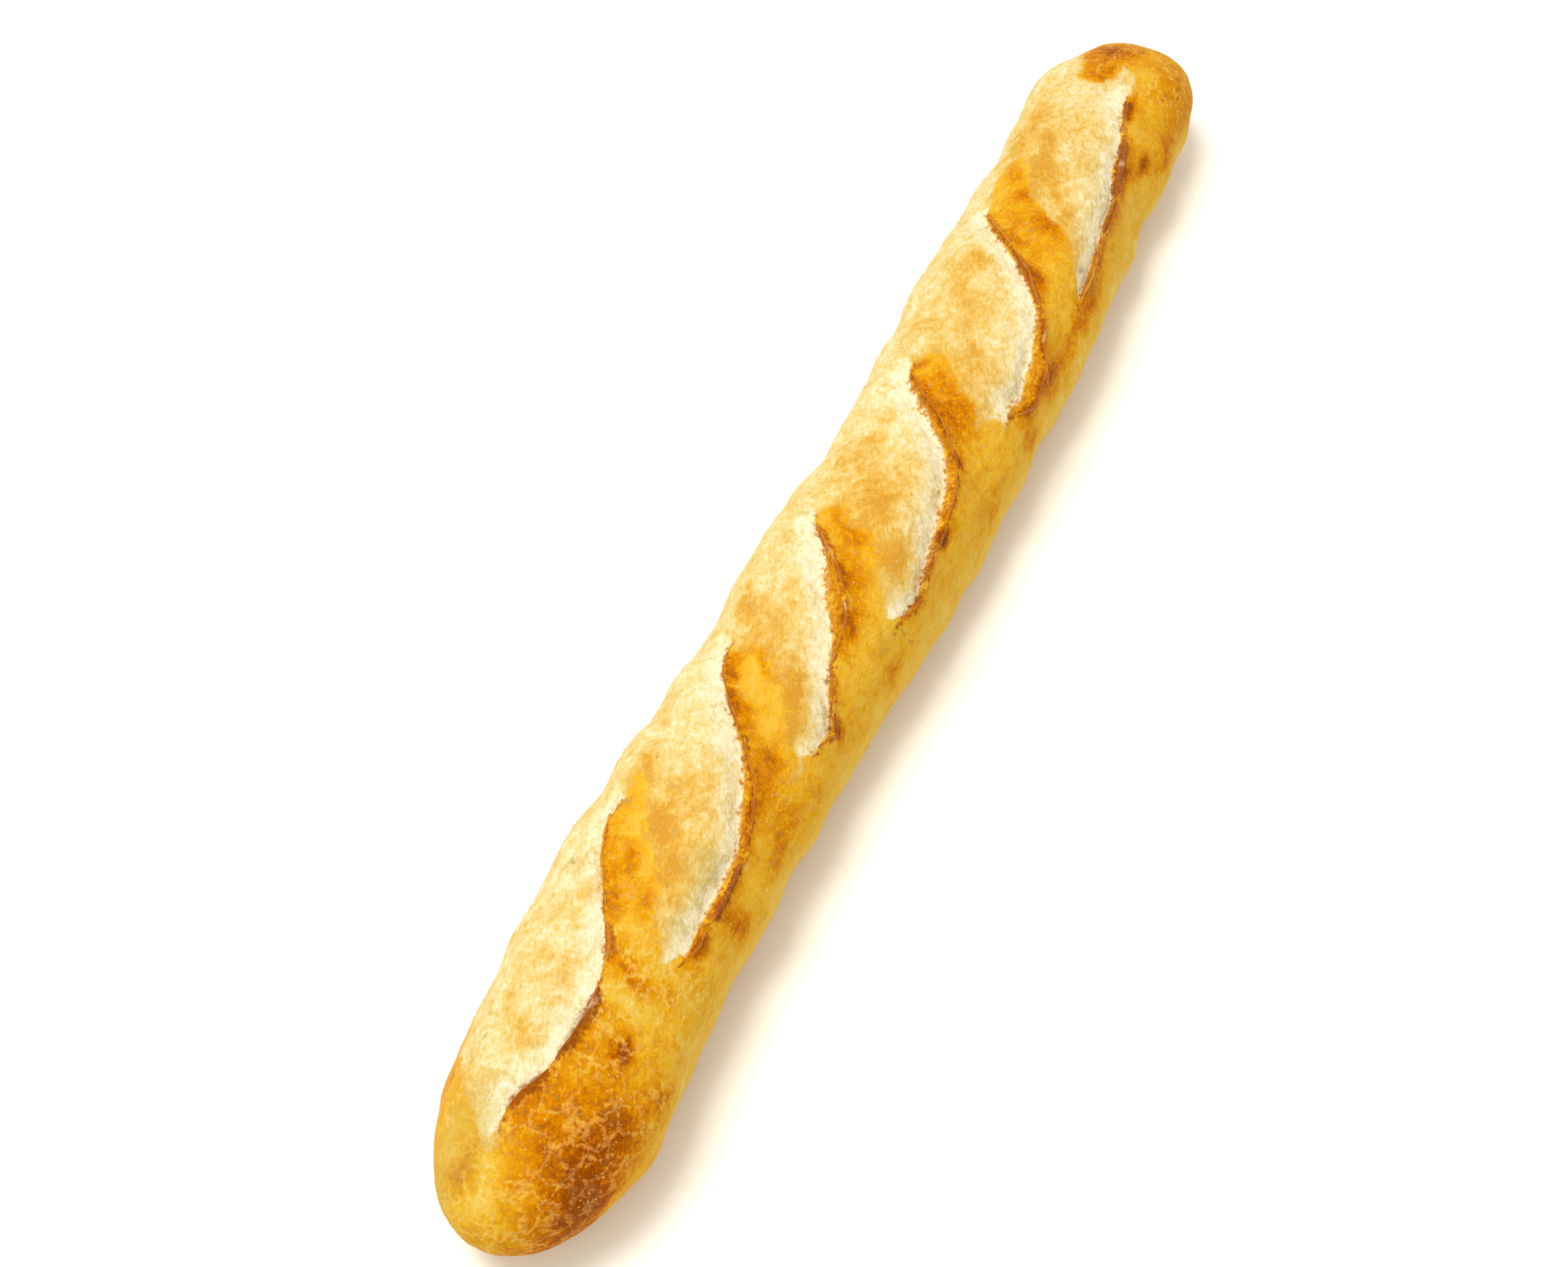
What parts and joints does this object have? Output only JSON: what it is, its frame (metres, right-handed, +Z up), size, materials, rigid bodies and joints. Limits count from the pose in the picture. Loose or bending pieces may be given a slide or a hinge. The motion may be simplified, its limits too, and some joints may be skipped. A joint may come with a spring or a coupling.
{
  "type": "baguette",
  "caption": "Long crusty bread loaf with rounded ends, a flat underside and slanting slashes whose raised brown lips border pale, swollen openings.",
  "frame": {"origin": "centre of the loaf's footprint, on the surface it lies on", "axes": "+X along the loaf, +Y across it towards the flank where the slashes end, +Z up from the flat underside"},
  "size_m": [0.534, 0.0738, 0.0592],
  "materials": {
    "baked_crust": "baked bread crust: golden to brown with a soft sheen, pale and floury in the openings"
  },
  "bodies": {
    "root": {"baguette": "baked_crust"}
  },
  "joints": []
}
